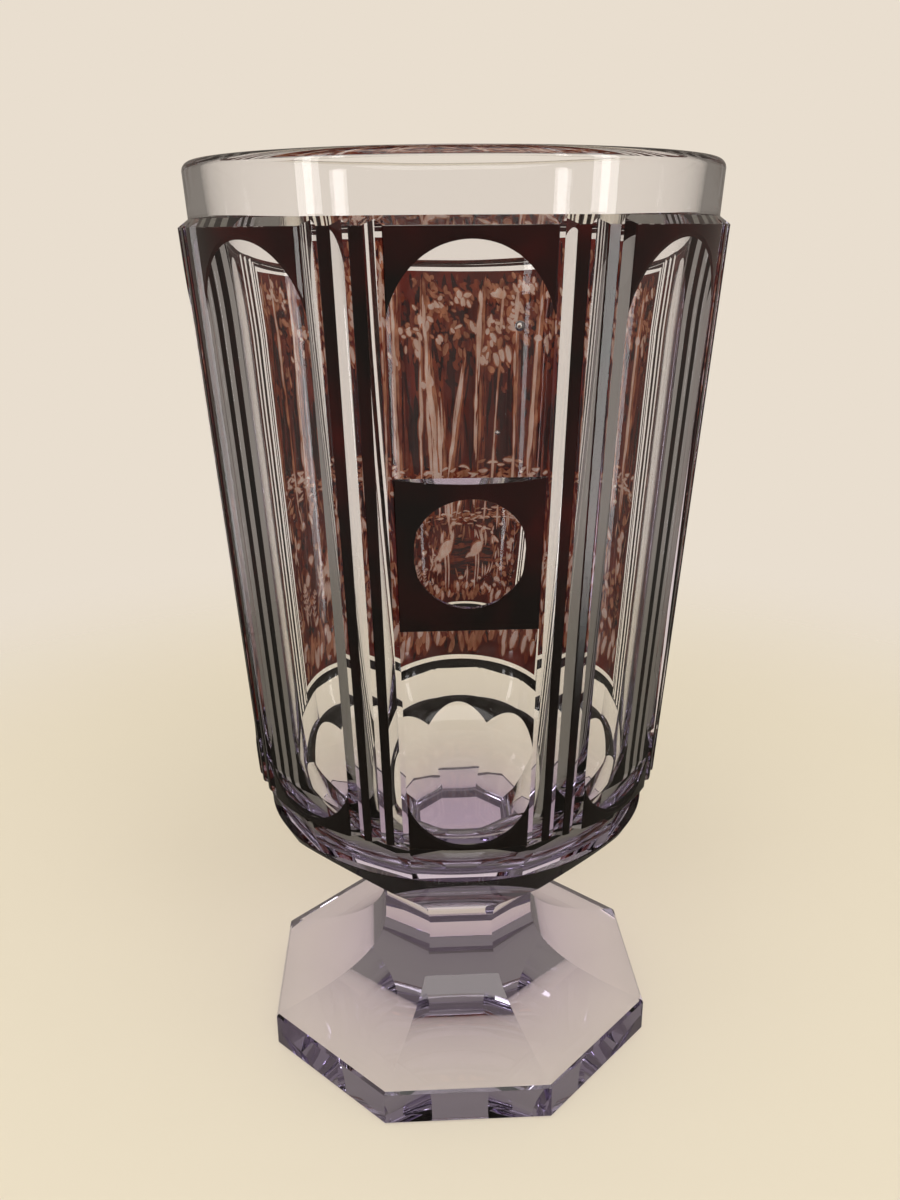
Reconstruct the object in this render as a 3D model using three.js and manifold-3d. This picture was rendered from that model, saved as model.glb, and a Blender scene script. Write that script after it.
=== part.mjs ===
// A footed beaker of cut and overlaid glass, as named solids.
// Millimetres, +Z up. The origin is the middle of the foot's underside, on the surface it stands on.
// The front, with the round lens, faces -Y. Azimuths are degrees from the front towards +X.
import * as THREE from "three";
import { mergeVertices } from "three/addons/utils/BufferGeometryUtils.js";
import Module from "manifold-3d";

const wasm = await Module();
wasm.setup();

// Heights of the stretches, from the foot up, each on top of the one before it
const PLATE_HEIGHT = 7.5; // upright sides of the foot plate
const FLARE_HEIGHT = 18; // hollow curve from the plate to the neck
const NECK_LOW_HEIGHT = 1.5; // neck below the joint of foot and bowl
const NECK_TOP_HEIGHT = 0.6; // neck above it
const FUNNEL_HEIGHT = 25.1; // underside of the bowl
const PETAL_HEIGHT = 7.9; // clear band of petals
const CASE_HEIGHT = 99.4; // ruby overlay on the wall
const SHOULDER_HEIGHT = 1.3; // slope from the overlay in to the rim
const RIM_HEIGHT = 8.7; // plain clear rim

// Radii of the outside of the bowl
const RIM_R = 45.1;
const RIM_FLARE = 0.4; // how much wider the lip is than the foot of the rim
const SHOULDER_STEP = 1.75; // how far the overlay stands out from the foot of the rim
const WALL_TAPER = 6.67; // how much narrower the wall is at its foot than at its top
const TURN_STEP = 2.33; // how much narrower the dark ring is than the foot of the wall
const RING_LEDGE = 0.25; // how far the ring stands out past the ridges between petals
const UNDER_LEAN = 0.54; // how much the ring draws in for each millimetre down

// The inside of the bowl
const RIM_WALL = 3;
const TOP_WALL = 5.1; // from the overlay's surface to the inside, at the overlay's top
const LOW_WALL = 5.3; // the same at the foot of the wall
const FLOOR_THICK = 21; // solid glass between the joint and the floor
const INNER_TURN = 17; // height over which the inside rounds into the floor
const INNER_FULL = 0.65; // how far down and out the rounding keeps to the corner
const FLOOR_R = 13; // flat middle of the floor

// The ruby overlay that the cutting leaves in islands
const CASE_THICK = 0.5;
const CASE_GAP = 0.3; // between the overlay's solids and the clear bowl
const CUT_BITE = 0.15; // least depth that a flat cut goes into the clear glass

// The bundles of three V-shaped flutes between the panels
const PANEL_STEP = 45;
const FLUTE_STEP = 5.95; // degrees between neighbouring flutes
const FLUTE_WIDTH = 3.1;
const FLUTE_BITE = 0.35; // how deep a flute's bottom goes into the clear glass

// The round-headed windows, cut flat into the panels
const HEADER_LEAST = 1.5; // height of the overlay left over the middle of a window
const SILL_LEAST = 0.7; // height of the overlay left under it
const WINDOW_OVERRUN = 0.1; // how far a window's sides run on, past the overlay's edge in the flute
const HEAD_RISE = 12.5; // height of a window's round head
const TOE_RISE = 10; // height of its round foot

// The band of petals
const PETAL_COUNT = 12;
const PETAL_CORNER = 2.6; // radius of the upper corners
const PETAL_OVERLAP = 0.6; // how far the cuts of neighbouring petals run into each other

// The square medallion left standing in the front window, with its round hollow lens
const MEDALLION_RAISE = 40.6; // its lower edge above the top of the petals
const MEDALLION_HEIGHT = 24.2;
const LENS_R = 8.7;
const LENS_SPHERE_R = 22; // radius of the hollow's curvature
const LENS_RAISE = 12.5; // the lens's middle above the medallion's lower edge

// The picture at the back, its border and the strip below it
const PICTURE_HALF_ANGLE = 58.5;
const PICTURE_RAISE = 3.9; // its lower edge above the top of the petals
const PICTURE_HEADROOM = 0.5; // clear glass from its upper edge to the top of the overlay
const BORDER_WIDTH = 0.9;
const BORDER_GAP = 1.2;
const STRIP_HEIGHT = 1.7;
const STRIP_HALF_ANGLE = 58;

// The octagonal foot, neck and funnel; radii are taken at the corners
const SIDES = 8;
const FOOT_R = 41.2;
const FOOT_BEVEL = 0.5;
const FLARE_OUT = 13.2; // how far the flare's curve keeps to its line over the plate
const FLARE_CLIMB = 3.5; // and how much it climbs along that line
const FLARE_DROP = 10.5; // how far it keeps upright under the neck
const NECK_R = 16.4;
const THROAT_RISE = 3.8; // from the neck's top to where its line meets the funnel's
const THROAT_REACH = 3; // how far out the throat's curve ends
const RING_LEAST = 1.1; // height of the dark ring over the middle of a funnel facet

// Smoothness of round surfaces
const ROUND = 96;
const LENS_ROUND = 36;
const CURVE = 6;

// Finishes of the glass
const CLEAR = { color: 0xe6dfe6, roughness: 0.05, metalness: 0 };
const RUBY = { color: 0x3a1012, roughness: 0.08, metalness: 0 };
const STAIN = { color: 0x7a4630, roughness: 0.35, metalness: 0 };

// Places that follow from the sizes above
const JOINT_Z = PLATE_HEIGHT + FLARE_HEIGHT + NECK_LOW_HEIGHT;
const NECK_TOP_Z = JOINT_Z + NECK_TOP_HEIGHT;
const TURN_Z = NECK_TOP_Z + FUNNEL_HEIGHT;
const PETAL_TOP_Z = TURN_Z + PETAL_HEIGHT;
const CASE_TOP_Z = PETAL_TOP_Z + CASE_HEIGHT;
const SHOULDER_Z = CASE_TOP_Z + SHOULDER_HEIGHT;
const RIM_Z = SHOULDER_Z + RIM_HEIGHT;
const SHOULDER_R = RIM_R - RIM_FLARE;
const CASE_TOP_R = SHOULDER_R + SHOULDER_STEP;
const CASE_LOW_R = CASE_TOP_R - WALL_TAPER;
const TURN_R = CASE_LOW_R - TURN_STEP;
const FLOOR_Z = JOINT_Z + FLOOR_THICK;
const INSET = CASE_THICK + CASE_GAP;
const CUT_DEPTH = INSET + CUT_BITE;
const FLUTE_DEPTH = INSET + FLUTE_BITE;
const WALL_TILT = Math.atan2(WALL_TAPER, CASE_HEIGHT);
const PETAL_HALF = 180 / PETAL_COUNT;
const EDGE_FLUTE = PANEL_STEP / 2 - FLUTE_STEP; // from a panel's middle to the flute beside it
const MEDALLION_Z = PETAL_TOP_Z + MEDALLION_RAISE;
const MEDALLION_TOP_Z = MEDALLION_Z + MEDALLION_HEIGHT;
const PICTURE_Z = PETAL_TOP_Z + PICTURE_RAISE;
const PICTURE_TOP_Z = CASE_TOP_Z - PICTURE_HEADROOM;
const ISLAND_LOW_Z = PETAL_TOP_Z - PETAL_HEIGHT / 2; // below every island of the wall

const rad = THREE.MathUtils.degToRad;
const deg = THREE.MathUtils.radToDeg;
const vec = (x, y) => new THREE.Vector2(x, y);

// Radius of the uncut wall at a height
function wallRadius(z) {
  return CASE_LOW_R + (z - PETAL_TOP_Z) * Math.tan(WALL_TILT);
}

// Radius of the uncut ring under the petals at a height
function ringRadius(z) {
  return TURN_R - (TURN_Z - z) * UNDER_LEAN;
}

// Radius of the straight stretch of the inside
function innerRadius(z) {
  const share = (z - PETAL_TOP_Z) / CASE_HEIGHT;
  return wallRadius(z) - LOW_WALL - share * (TOP_WALL - LOW_WALL);
}

// Half the angle of a panel, from its middle to the near edge of the flute beside it
function panelHalf(z) {
  return EDGE_FLUTE - deg(FLUTE_WIDTH / 2 / wallRadius(z));
}

// A closed three.js geometry as a solid that can be cut and joined
function solid(geometry) {
  const bare = geometry.clone();
  bare.deleteAttribute("normal");
  bare.deleteAttribute("uv");
  const merged = mergeVertices(bare, 1e-4);
  const mesh = new wasm.Mesh({
    numProp: 3,
    vertProperties: merged.attributes.position.array,
    triVerts: new Uint32Array(merged.index.array),
  });
  return new wasm.Manifold(mesh);
}

// Such a solid as a geometry with flat faces
function geometryOf(body) {
  const mesh = body.getMesh();
  const geometry = new THREE.BufferGeometry();
  geometry.setAttribute("position", new THREE.BufferAttribute(mesh.vertProperties, 3));
  geometry.setIndex(new THREE.BufferAttribute(mesh.triVerts, 1));
  const flat = geometry.toNonIndexed();
  flat.computeVertexNormals();
  return flat;
}

// A profile of radii and heights, from the axis up its outside, turned about the upright axis
function turned(profile, sides = ROUND, azimuth = 0) {
  const geometry = new THREE.LatheGeometry(profile, sides, rad(azimuth));
  return solid(geometry.rotateX(Math.PI / 2));
}

// An outline in plan, raised between two heights
function raised(outline, low, top) {
  const depth = top - low;
  const geometry = new THREE.ExtrudeGeometry(outline, { depth, bevelEnabled: false });
  return geometry.translate(0, 0, low);
}

// The space between two azimuths and two heights
function sector(from, to, low, top) {
  const reach = 3 * RIM_R;
  const half = Math.tan(rad((to - from) / 2)) * reach;
  const fan = new THREE.Shape([vec(0, 0), vec(-half, -reach), vec(half, -reach)]);
  return solid(raised(fan, low, top).rotateZ(rad((from + to) / 2)));
}

// Stands a geometry drawn on a cutting plane against the wall: its x runs round the bowl, its y
// up and its z outwards. Its origin comes to the given place, and its top leans out by the tilt.
function onWall(geometry, azimuth, radius, height, tilt) {
  geometry.rotateX(Math.PI / 2 + tilt);
  geometry.translate(0, -radius, height);
  return solid(geometry.rotateZ(rad(azimuth)));
}

// The clear bowl before cutting: inside the overlay, hollow, with a rounded lip
function clearBlank() {
  const lip = RIM_WALL / 2;
  const roll = new THREE.EllipseCurve(RIM_R - lip, RIM_Z - lip, lip, lip, 0, Math.PI);
  const turnZ = FLOOR_Z + INNER_TURN;
  const turnR = innerRadius(turnZ);
  const inside = new THREE.CubicBezierCurve(
    vec(turnR, turnZ),
    vec(innerRadius(FLOOR_Z), turnZ - INNER_TURN * INNER_FULL),
    vec(FLOOR_R + (turnR - FLOOR_R) * INNER_FULL, FLOOR_Z),
    vec(FLOOR_R, FLOOR_Z),
  );
  return turned([
    vec(0, JOINT_Z),
    vec(ringRadius(JOINT_Z) - INSET, JOINT_Z),
    vec(TURN_R - INSET, TURN_Z),
    vec(TURN_R - INSET, TURN_Z + CASE_GAP),
    vec(TURN_R - RING_LEDGE + CUT_BITE, TURN_Z + CASE_GAP),
    vec(CASE_LOW_R - INSET, PETAL_TOP_Z),
    vec(CASE_TOP_R - INSET, CASE_TOP_Z),
    vec(CASE_TOP_R - INSET, CASE_TOP_Z + CASE_GAP),
    vec(CASE_TOP_R, CASE_TOP_Z + CASE_GAP),
    vec(SHOULDER_R, SHOULDER_Z),
    ...roll.getPoints(CURVE),
    vec(innerRadius(CASE_TOP_Z), CASE_TOP_Z),
    ...inside.getPoints(CURVE),
    vec(0, FLOOR_Z),
  ]);
}

// A layer of the overlay before cutting, between two heights, on a given course of radii
function layer(radiusAt, low, top) {
  const outside = [vec(radiusAt(low), low), vec(radiusAt(top), top)];
  const inside = [vec(radiusAt(top) - CASE_THICK, top), vec(radiusAt(low) - CASE_THICK, low)];
  return turned([...outside, ...inside, outside[0]]);
}

// The octagonal neck and funnel, which cut the bowl's underside; above them it clears the bowl
function funnelEnvelope() {
  const ringZ = TURN_Z - RING_LEAST;
  const ringCorner = ringRadius(ringZ) / Math.cos(Math.PI / SIDES);
  const meetZ = NECK_TOP_Z + THROAT_RISE;
  const rise = (ringZ - meetZ) / (ringCorner - NECK_R);
  const reach = 1.3 * RIM_R;
  const throat = new THREE.QuadraticBezierCurve(
    vec(NECK_R, NECK_TOP_Z),
    vec(NECK_R, meetZ),
    vec(NECK_R + THROAT_REACH, meetZ + THROAT_REACH * rise),
  );
  const profile = [
    vec(0, JOINT_Z),
    vec(NECK_R, JOINT_Z),
    ...throat.getPoints(CURVE),
    vec(reach, meetZ + (reach - NECK_R) * rise),
    vec(reach, RIM_Z + RIM_HEIGHT),
    vec(0, RIM_Z + RIM_HEIGHT),
  ];
  return turned(profile, SIDES, 180 / SIDES);
}

// The flat cut of one window, as tall as the overlay between header and sill
function windowCut(azimuth) {
  const low = PETAL_TOP_Z + SILL_LEAST;
  const top = CASE_TOP_Z - HEADER_LEAST;
  const faceRadius = (z) => wallRadius(z) * Math.cos(rad(panelHalf(z))) - CUT_DEPTH;
  const overrun = ((CASE_THICK / FLUTE_DEPTH) * FLUTE_WIDTH) / 2 + WINDOW_OVERRUN;
  const halfWidth = (z) => wallRadius(z) * Math.sin(rad(panelHalf(z))) + overrun;
  const lean = faceRadius(top) - faceRadius(low);
  const height = Math.hypot(top - low, lean);
  const toe = new THREE.EllipseCurve(
    0, TOE_RISE, halfWidth(low + TOE_RISE), TOE_RISE, Math.PI, 2 * Math.PI);
  const head = new THREE.EllipseCurve(
    0, height - HEAD_RISE, halfWidth(top - HEAD_RISE), HEAD_RISE, 0, Math.PI);
  const outline = new THREE.Shape([...toe.getPoints(2 * CURVE), ...head.getPoints(2 * CURVE)]);
  const tilt = Math.atan2(lean, top - low);
  return onWall(raised(outline, 0, RIM_R / 2), azimuth, faceRadius(low), low, tilt);
}

// The block that stays standing in the front window, from flute to flute
function medallionBlock() {
  return sector(-EDGE_FLUTE, EDGE_FLUTE, MEDALLION_Z, MEDALLION_TOP_Z);
}

// The cut of the round hollow lens, sunk until its rim meets the round wall at both sides
function lensCut() {
  const height = MEDALLION_Z + LENS_RAISE;
  const wallR = wallRadius(height);
  const sunk = wallR - Math.sqrt(wallR ** 2 - LENS_R ** 2);
  const middle = Math.sqrt(LENS_SPHERE_R ** 2 - LENS_R ** 2) - sunk;
  const spread = Math.asin(LENS_R / LENS_SPHERE_R);
  const reach = LENS_R / 2;
  const hollow = new THREE.EllipseCurve(
    0, middle, LENS_SPHERE_R, LENS_SPHERE_R, -Math.PI / 2, spread - Math.PI / 2);
  const profile = [...hollow.getPoints(CURVE), vec(LENS_R, reach), vec(0, reach)];
  profile[0].x = 0;
  const geometry = new THREE.LatheGeometry(profile, LENS_ROUND).rotateX(Math.PI / 2);
  return onWall(geometry, 0, wallR, height, WALL_TILT);
}

// The cut of one V-shaped flute, from the petals up and out over the shoulder
function fluteCut(azimuth) {
  const above = 2 * FLUTE_DEPTH;
  const half = (FLUTE_WIDTH / 2) * (1 + above / FLUTE_DEPTH);
  const vee = new THREE.Shape([vec(0, FLUTE_DEPTH), vec(half, -above), vec(-half, -above)]);
  const length = (RIM_Z - ISLAND_LOW_Z) / Math.cos(WALL_TILT);
  const geometry = raised(vee, 0, length).rotateX(-Math.PI / 2);
  return onWall(geometry, azimuth, wallRadius(ISLAND_LOW_Z), ISLAND_LOW_Z, WALL_TILT);
}

// The flat cut of one petal, with rounded upper corners and a level foot
function petalCut(azimuth) {
  const topR = (CASE_LOW_R - CUT_DEPTH) * Math.cos(rad(PETAL_HALF));
  const lowR = (TURN_R - RING_LEDGE) * Math.cos(rad(PETAL_HALF));
  const lean = topR - lowR;
  const height = Math.hypot(PETAL_HEIGHT, lean);
  const half = CASE_LOW_R * Math.tan(rad(PETAL_HALF)) + PETAL_OVERLAP;
  const side = half - PETAL_CORNER;
  const brow = height - PETAL_CORNER;
  const outline = new THREE.Shape();
  outline.moveTo(-half, -PETAL_CORNER);
  outline.lineTo(half, -PETAL_CORNER);
  outline.absarc(side, brow, PETAL_CORNER, 0, Math.PI / 2);
  outline.absarc(-side, brow, PETAL_CORNER, Math.PI / 2, Math.PI);
  const depth = RIM_R / 4;
  const geometry = new THREE.ExtrudeGeometry(outline, {
    depth,
    bevelEnabled: false,
    curveSegments: CURVE / 2,
  });
  const facet = onWall(geometry, azimuth, lowR, TURN_Z, Math.atan2(lean, PETAL_HEIGHT));
  return facet.intersect(sector(azimuth - PANEL_STEP, azimuth + PANEL_STEP, TURN_Z, CASE_TOP_Z));
}

// Everything that is cut away from the blank's wall, as one solid
function wallCuts() {
  const cuts = [];
  PANELS.forEach(([, azimuth]) => {
    const cut = windowCut(azimuth);
    cuts.push(azimuth === 0 ? cut.subtract(medallionBlock()) : cut);
  });
  BUNDLES.forEach(([, azimuth]) => {
    [-FLUTE_STEP, 0, FLUTE_STEP].forEach((turn) => cuts.push(fluteCut(azimuth + turn)));
  });
  for (let i = 0; i < PETAL_COUNT; i += 1) {
    cuts.push(petalCut((i * 360) / PETAL_COUNT));
  }
  cuts.push(lensCut());
  return cuts.reduce((all, cut) => all.add(cut));
}

// The panels and the bundles of flutes between them, by name and azimuth
const PANELS = [
  ["front", 0],
  ["right_front", PANEL_STEP],
  ["right", 2 * PANEL_STEP],
  ["left", -2 * PANEL_STEP],
  ["left_front", -PANEL_STEP],
];
const BUNDLES = [
  ["right_front", 0.5 * PANEL_STEP],
  ["right_side", 1.5 * PANEL_STEP],
  ["right_back", 2.5 * PANEL_STEP],
  ["left_back", -2.5 * PANEL_STEP],
  ["left_side", -1.5 * PANEL_STEP],
  ["left_front", -0.5 * PANEL_STEP],
];

// The foot: an octagonal plate that flares in to the neck, standing flat on the ground
function footGeometry() {
  const flare = new THREE.CubicBezierCurve(
    vec(FOOT_R - FOOT_BEVEL, PLATE_HEIGHT),
    vec(FOOT_R - FLARE_OUT, PLATE_HEIGHT + FLARE_CLIMB),
    vec(NECK_R, PLATE_HEIGHT + FLARE_HEIGHT - FLARE_DROP),
    vec(NECK_R, PLATE_HEIGHT + FLARE_HEIGHT),
  );
  const profile = [
    vec(0, 0),
    vec(FOOT_R - FOOT_BEVEL, 0),
    vec(FOOT_R, FOOT_BEVEL),
    vec(FOOT_R, PLATE_HEIGHT - FOOT_BEVEL),
    ...flare.getPoints(2 * CURVE),
    vec(NECK_R, JOINT_Z),
    vec(0, JOINT_Z),
  ];
  return geometryOf(turned(profile, SIDES, 180 / SIDES));
}

// A named mesh in a group
function place(group, name, geometry, finish) {
  const mesh = new THREE.Mesh(geometry, new THREE.MeshStandardMaterial(finish));
  mesh.name = name;
  group.add(mesh);
}

// The clear glass: the foot, and the bowl joined to it at the neck
function clearGlass(cuts) {
  const group = new THREE.Group();
  place(group, "foot", footGeometry(), CLEAR);
  const bowl = clearBlank().intersect(funnelEnvelope()).subtract(cuts);
  place(group, "bowl", geometryOf(bowl), CLEAR);
  return group;
}

// The ruby overlay's islands on the wall, and the ring under the petals
function overlay(cuts) {
  const group = new THREE.Group();
  const wall = layer(wallRadius, ISLAND_LOW_Z, CASE_TOP_Z).subtract(cuts);
  const island = (name, from, to, low, top) => {
    place(group, name, geometryOf(wall.intersect(sector(from, to, low, top))), RUBY);
  };
  PANELS.forEach(([side, azimuth]) => {
    const from = azimuth - EDGE_FLUTE;
    const to = azimuth + EDGE_FLUTE;
    island(`header_${side}`, from, to, CASE_TOP_Z - HEADER_LEAST - HEAD_RISE, CASE_TOP_Z);
    island(`sill_${side}`, from, to, ISLAND_LOW_Z, PETAL_TOP_Z + SILL_LEAST + TOE_RISE);
  });
  BUNDLES.forEach(([side, azimuth]) => {
    const away = Math.sign(azimuth) * FLUTE_STEP;
    const low = Math.min(azimuth, azimuth - away);
    const high = Math.min(azimuth, azimuth + away);
    island(`bar_${side}_near`, low, low + FLUTE_STEP, ISLAND_LOW_Z, CASE_TOP_Z);
    island(`bar_${side}_far`, high, high + FLUTE_STEP, ISLAND_LOW_Z, CASE_TOP_Z);
  });
  island("medallion", -EDGE_FLUTE, EDGE_FLUTE, MEDALLION_Z, MEDALLION_TOP_Z);
  const strip = [180 - STRIP_HALF_ANGLE, 180 + STRIP_HALF_ANGLE];
  island("back_strip", ...strip, ISLAND_LOW_Z, PETAL_TOP_Z + STRIP_HEIGHT);
  const ring = layer(ringRadius, NECK_TOP_Z, TURN_Z).intersect(funnelEnvelope());
  place(group, "underside_ring", geometryOf(ring), RUBY);
  return group;
}

// The engraved and stained picture at the back, in a thin border
function picture() {
  const group = new THREE.Group();
  const wall = layer(wallRadius, PETAL_TOP_Z, CASE_TOP_Z);
  const middleR = wallRadius((PICTURE_Z + PICTURE_TOP_Z) / 2);
  const field = (inward) => {
    const half = PICTURE_HALF_ANGLE - deg(inward / middleR);
    return sector(180 - half, 180 + half, PICTURE_Z + inward, PICTURE_TOP_Z - inward);
  };
  const panel = wall.intersect(field(BORDER_WIDTH + BORDER_GAP));
  const border = wall.intersect(field(0)).subtract(field(BORDER_WIDTH));
  place(group, "picture_panel", geometryOf(panel), STAIN);
  place(group, "picture_border", geometryOf(border), RUBY);
  return group;
}

const cuts = wallCuts();
const beaker = new THREE.Group();
beaker.add(clearGlass(cuts), overlay(cuts), picture());

export default beaker;
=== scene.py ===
# A footed beaker of cut and overlaid glass: its looks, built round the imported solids.
# Lengths are millimetres in the frame of the solids, with +Z up and the front towards -Y.
# Azimuths are degrees from the front towards +X.
import math
import random

import bmesh
import bpy
from mathutils import Matrix, Vector


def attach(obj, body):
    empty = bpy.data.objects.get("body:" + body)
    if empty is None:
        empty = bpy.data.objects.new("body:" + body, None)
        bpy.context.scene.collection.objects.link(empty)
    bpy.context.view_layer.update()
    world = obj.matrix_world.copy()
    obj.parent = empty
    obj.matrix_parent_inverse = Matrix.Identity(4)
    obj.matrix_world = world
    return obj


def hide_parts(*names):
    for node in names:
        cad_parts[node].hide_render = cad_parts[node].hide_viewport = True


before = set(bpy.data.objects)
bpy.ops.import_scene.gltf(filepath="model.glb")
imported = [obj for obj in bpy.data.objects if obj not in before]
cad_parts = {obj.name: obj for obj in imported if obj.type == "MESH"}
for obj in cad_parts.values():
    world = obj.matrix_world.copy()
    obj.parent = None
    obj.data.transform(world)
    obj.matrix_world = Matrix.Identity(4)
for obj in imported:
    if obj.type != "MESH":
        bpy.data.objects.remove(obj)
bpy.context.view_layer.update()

MM = 0.001

# Heights and radii of the beaker, as in the solids
JOINT_Z = 27
NECK_TOP_Z = 27.6
TURN_Z = 52.7
PETAL_TOP_Z = 60.6
CASE_TOP_Z = 160
SHOULDER_Z = 161.3
RIM_Z = 170
RIM_R = 45.1
SHOULDER_R = 44.7
CASE_TOP_R = 46.45
CASE_LOW_R = 39.78
TURN_R = 37.45
RING_LEDGE = 0.25
UNDER_LEAN = 0.54
RIM_WALL = 3
TOP_WALL = 5.1
LOW_WALL = 5.3
FLOOR_Z = 48
INNER_TURN = 17
INNER_FULL = 0.65
FLOOR_R = 13
PLATE_HEIGHT = 7.5
FLARE_HEIGHT = 18
FOOT_R = 41.2
FOOT_BEVEL = 0.5
FLARE_OUT = 13.2
FLARE_CLIMB = 3.5
FLARE_DROP = 10.5
NECK_R = 16.4
THROAT_RISE = 3.8
THROAT_REACH = 3
RING_LEAST = 1.1
SIDES = 8

# The cuts, in the places that they have in the solids. The lens is shallower here, and the
# windows end in the run-outs of a cutting wheel.
PANELS = {"front": 0, "right_front": 45, "right": 90, "left": -90, "left_front": -45}
BUNDLES = {
    "right_front": 22.5,
    "right_side": 67.5,
    "right_back": 112.5,
    "left_back": -112.5,
    "left_side": -67.5,
    "left_front": -22.5,
}
FLUTE_STEP = 5.95
FLUTE_WIDTH = 3.1
FLUTE_DEPTH = 1.15
EDGE_FLUTE = 22.5 - FLUTE_STEP
EDGE_DEPTH = 0.3
HEADER_LEAST = 1.1
HEAD_DROP = 8.4
SILL_LEAST = 0.5
TOE_DROP = 6
PETAL_COUNT = 12
PETAL_CORNER = 2.6
PETAL_DEPTH = 0.95
ISLAND_LOW_Z = 56.65
MEDALLION_Z = 101.2
MEDALLION_TOP_Z = 125.4
MEDALLION_SLOPE = 0.4
LENS_R = 8.7
LENS_SPHERE_R = 31
LENS_Z = 113.7

# Seed bubbles in the front wall: azimuth, radius from the axis, height and their own radius
BUBBLES = [(9.4, 42.6, 146.8, 0.75), (5.4, 42.1, 131.8, 0.35)]

# The ruby layer, seen as a thin skin just under the polished surface
SKIN_DEEP = 0.02
SKIN_THICK = 0.16
SKIN_GROW = 0.03

# How far the spaces that part the ruby into islands reach from its edges
ISLAND_PAST = 1
HEADER_REACH = 16
SILL_REACH = 14
MEDALLION_PAST = 2

# The picture, also just under the surface
PICTURE_HALF = 58.5
PICTURE_LOW = 63.5
PICTURE_TOP = 159.9
BORDER_WIDTH = 0.9
BORDER_GAP = 1.2
BORDER_DEPTH = (0.05, 0.19)
STRIP_HALF = 58
STRIP_TOP = 62.3

# How finely round forms are stepped
ROUND = 360
CURVE_STEPS = 40
THROAT_STEPS = 16
ARC_STEPS = 32
CORNER_STEPS = 12
WHEEL_STEPS = 20
LENS_ROUND = 128
BUBBLE_STEPS = 24
BUBBLE_ROUND = 48
PLATE_STEP = 1

# Room that blanks and tools leave round the beaker
CLEAR_Z = RIM_Z + 10
BLANK_DISC_R = 60
BLANK_LOW_Z = -2
ON_AXIS = 1e-6

# Edges that turn by more than this many degrees look sharp
SHARP_EDGE = 8

TILT = math.atan2(CASE_TOP_R - CASE_LOW_R, CASE_TOP_Z - PETAL_TOP_Z)


def wall_r(z):
    """Radius of the cased wall at a height."""
    return CASE_LOW_R + (z - PETAL_TOP_Z) * math.tan(TILT)


def ring_r(z):
    """Radius under the turn, where the bowl leans in towards the neck."""
    return TURN_R - (TURN_Z - z) * UNDER_LEAN


def inner_r(z):
    """Radius of the hollow at a height."""
    share = (z - PETAL_TOP_Z) / (CASE_TOP_Z - PETAL_TOP_Z)
    return wall_r(z) - LOW_WALL - share * (TOP_WALL - LOW_WALL)


def panel_half(z):
    """Half the angle that a window takes up at a height, between the flutes at its sides."""
    return EDGE_FLUTE - math.degrees(FLUTE_WIDTH / 2 / wall_r(z))


def spot(azimuth, radius, z):
    """A point from its azimuth, its distance from the axis and its height."""
    a = math.radians(azimuth)
    return (radius * math.sin(a), -radius * math.cos(a), z)


def bezier(points, count):
    """Evenly stepped points on a Bezier curve of any degree."""
    made = []
    for i in range(count + 1):
        left = [Vector(p) for p in points]
        while len(left) > 1:
            left = [a.lerp(b, i / count) for a, b in zip(left, left[1:])]
        made.append(tuple(left[0]))
    return made


def mesh_of(name, verts, faces):
    """A mesh in metres from points in millimetres, with its faces turned outwards."""
    mesh = bpy.data.meshes.new(name)
    mesh.from_pydata([tuple(c * MM for c in v) for v in verts], [], faces)
    bm = bmesh.new()
    bm.from_mesh(mesh)
    bmesh.ops.recalc_face_normals(bm, faces=bm.faces)
    bm.to_mesh(mesh)
    bm.free()
    return mesh


def lathe(name, profile, count, turn=0.0):
    """A solid of revolution. The profile runs once round its half section."""
    verts = []
    rows = []
    for radius, z in profile:
        if radius < ON_AXIS:
            rows.append([len(verts)] * count)
            verts.append((0, 0, z))
        else:
            rows.append(range(len(verts), len(verts) + count))
            verts += [spot(turn + 360 * i / count, radius, z) for i in range(count)]
    faces = []
    for low, top in zip(rows, rows[1:] + rows[:1]):
        for i in range(count):
            j = (i + 1) % count
            corners = tuple(dict.fromkeys((low[i], low[j], top[j], top[i])))
            if len(corners) > 2:
                faces.append(corners)
    return mesh_of(name, verts, faces)


def drawn_out(name, outline, along):
    """A prism: a flat outline in space, and the way that it is drawn out."""
    n = len(outline)
    verts = [*outline, *[tuple(a + b for a, b in zip(p, along)) for p in outline]]
    faces = [tuple(range(n)), tuple(range(n, 2 * n))]
    faces += [(i, (i + 1) % n, n + (i + 1) % n, n + i) for i in range(n)]
    return mesh_of(name, verts, faces)


def turned(mesh, azimuth):
    """A copy of the mesh, turned about the beaker's axis."""
    copy = mesh.copy()
    copy.transform(Matrix.Rotation(math.radians(azimuth), 4, "Z"))
    return copy


def carved(mesh, tools, how="DIFFERENCE"):
    """The mesh after each of the tools has cut it, or been kept in common with it."""
    piece = bpy.data.objects.new("carving", mesh)
    helpers = [piece]
    for tool in tools:
        cutter = bpy.data.objects.new("cutter", tool)
        helpers.append(cutter)
        step = piece.modifiers.new("cut", "BOOLEAN")
        step.operation = how
        step.solver = "MANIFOLD"
        step.object = cutter
    for o in helpers:
        bpy.context.scene.collection.objects.link(o)
    bpy.context.view_layer.update()
    dg = bpy.context.evaluated_depsgraph_get()
    made = bpy.data.meshes.new_from_object(piece.evaluated_get(dg))
    for o in helpers:
        bpy.data.objects.remove(o)
    return made


def wedge(start, end, low, top):
    """The space between two azimuths and two heights."""
    reach = 3 * RIM_R
    half = math.tan(math.radians((end - start) / 2)) * reach
    fan = [(0, 0, low), (-half, -reach, low), (half, -reach, low)]
    return turned(drawn_out("wedge", fan, (0, 0, top - low)), (start + end) / 2)


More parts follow.
